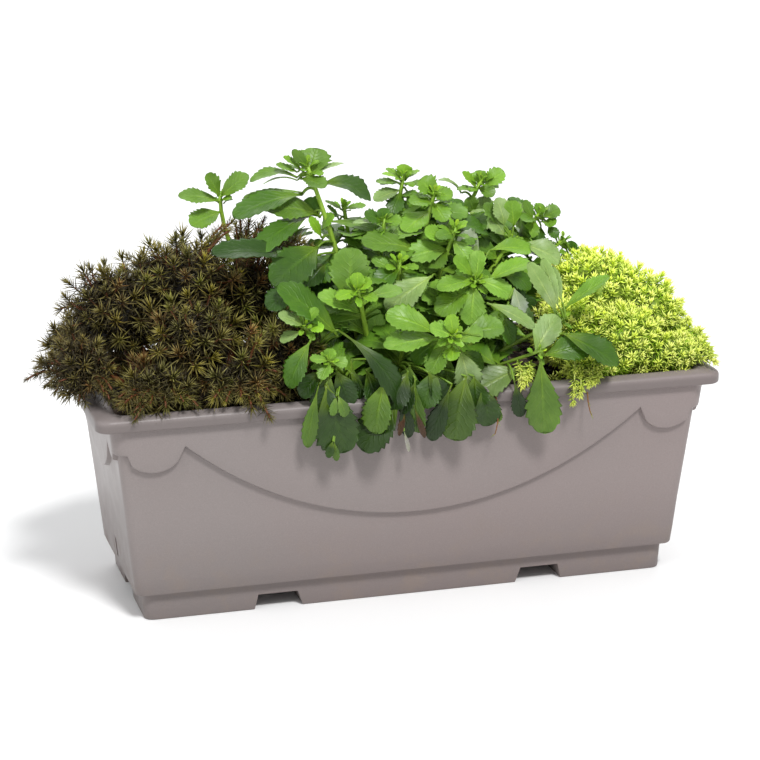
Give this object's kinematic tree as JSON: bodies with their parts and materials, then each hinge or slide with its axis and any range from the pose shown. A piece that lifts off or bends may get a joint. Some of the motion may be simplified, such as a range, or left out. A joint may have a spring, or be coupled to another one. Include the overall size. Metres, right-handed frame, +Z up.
{
  "type": "planted window box",
  "caption": "Rectangular plastic window box with a rolled rim, swag valance and drained feet, planted with bronze, green and lime stonecrops.",
  "frame": {"origin": "centre of the box's footprint, on the face that it stands on", "axes": "+X along the box's front to the lime plant's end, +Y to the back, +Z up"},
  "size_m": [0.4502, 0.2159, 0.2906],
  "materials": {
    "box_plastic": "satin",
    "soil": "matte",
    "roots": "matte",
    "bronze_foliage": "satin",
    "lime_foliage": "satin",
    "green_foliage": "satin"
  },
  "bodies": {
    "root": {"window_box": "box_plastic", "potting_soil": "soil", "bronze_root_ball": "roots", "green_root_ball": "roots", "lime_root_ball": "roots", "bronze_shoot_01": "bronze_foliage", "bronze_shoot_02": "bronze_foliage", "bronze_shoot_03": "bronze_foliage", "bronze_shoot_04": "bronze_foliage", "bronze_shoot_05": "bronze_foliage", "bronze_shoot_06": "bronze_foliage", "bronze_shoot_07": "bronze_foliage", "bronze_shoot_08": "bronze_foliage", "bronze_shoot_09": "bronze_foliage", "bronze_shoot_10": "bronze_foliage", "bronze_shoot_11": "bronze_foliage", "bronze_shoot_12": "bronze_foliage", "lime_shoot_01": "lime_foliage", "lime_shoot_02": "lime_foliage", "lime_shoot_03": "lime_foliage", "lime_shoot_04": "lime_foliage", "lime_shoot_05": "lime_foliage", "lime_shoot_06": "lime_foliage", "lime_shoot_07": "lime_foliage", "lime_shoot_08": "lime_foliage", "lime_shoot_09": "lime_foliage", "lime_shoot_10": "lime_foliage", "green_shoot_01": "green_foliage", "green_shoot_02": "green_foliage", "green_shoot_03": "green_foliage", "green_shoot_04": "green_foliage", "green_shoot_05": "green_foliage", "green_shoot_06": "green_foliage", "green_shoot_07": "green_foliage", "green_shoot_08": "green_foliage", "green_shoot_09": "green_foliage", "green_shoot_10": "green_foliage", "green_shoot_11": "green_foliage", "green_shoot_12": "green_foliage", "green_shoot_13": "green_foliage", "green_shoot_14": "green_foliage", "green_shoot_15": "green_foliage", "green_shoot_16": "green_foliage", "green_shoot_17": "green_foliage", "green_shoot_18": "green_foliage", "green_shoot_19": "green_foliage", "green_shoot_20": "green_foliage", "green_shoot_21": "green_foliage", "green_shoot_22": "green_foliage", "green_shoot_23": "green_foliage", "green_shoot_24": "green_foliage"}
  },
  "joints": []
}
